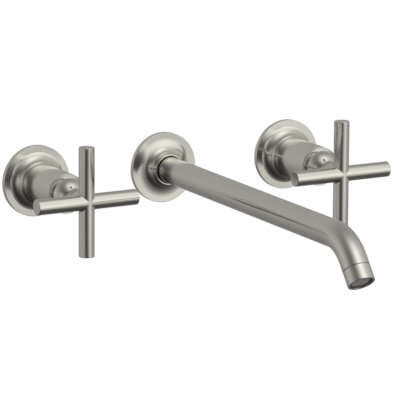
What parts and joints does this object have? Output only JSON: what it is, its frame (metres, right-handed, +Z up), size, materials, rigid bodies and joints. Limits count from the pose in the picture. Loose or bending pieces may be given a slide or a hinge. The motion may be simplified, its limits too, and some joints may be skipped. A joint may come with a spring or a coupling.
{
  "type": "wall mounted bath faucet",
  "caption": "Wall mounted bath faucet with cross handles on barrel bases either side of a long tubular spout that bends down to an aerator, in satin nickel.",
  "frame": {"origin": "where the spout's axis meets the finished wall face", "axes": "+X along the wall to the cold handle's side, +Z up, +Y into the wall; the faucet reaches out along -Y"},
  "size_m": [0.28, 0.3068, 0.0768],
  "materials": {
    "nickel": "satin",
    "brass": "machined",
    "ceramic": "lapped",
    "rubber": "matte",
    "foam": "matte",
    "fibre": "matte",
    "plastic": "moulded",
    "steel": "plain"
  },
  "bodies": {
    "wall_set": {"hot_escutcheon": "nickel", "hot_gasket": "foam", "hot_barrel": "nickel", "hot_valve_body": "brass", "hot_body_washer": "fibre", "hot_seat_seal": "rubber", "hot_fixed_disc": "ceramic", "cold_escutcheon": "nickel", "cold_gasket": "foam", "cold_barrel": "nickel", "cold_valve_body": "brass", "cold_body_washer": "fibre", "cold_seat_seal": "rubber", "cold_fixed_disc": "ceramic", "spout_escutcheon": "nickel", "spout_escutcheon_oring": "rubber", "spout_gasket": "foam", "spout_adapter": "brass", "spout_washer": "fibre", "spout_orings": "rubber", "spout_set_screw": "steel", "spout_tube": "nickel", "aerator_washer": "rubber", "aerator_housing": "nickel", "aerator_cartridge": "plastic", "aerator_regulator": "plastic", "aerator_mesh": "steel"},
    "hot_turning": {"hot_moving_disc": "ceramic", "hot_spindle": "brass", "hot_spindle_orings": "rubber", "hot_handle_adapter": "brass", "hot_handle": "nickel", "hot_handle_ring": "nickel", "hot_handle_screw": "steel"},
    "cold_turning": {"cold_moving_disc": "ceramic", "cold_spindle": "brass", "cold_spindle_orings": "rubber", "cold_handle_adapter": "brass", "cold_handle": "nickel", "cold_handle_ring": "nickel", "cold_handle_screw": "steel"}
  },
  "joints": [
    {"name": "hot_quarter_turn", "type": "hinge", "parent": "wall_set", "child": "hot_turning", "pos_m": [-0.1016, 0, 0], "axis": [0, -1, 0], "range_deg": [0, 90]},
    {"name": "cold_quarter_turn", "type": "hinge", "parent": "wall_set", "child": "cold_turning", "pos_m": [0.1016, 0, 0], "axis": [0, 1, 0], "range_deg": [0, 90]}
  ]
}
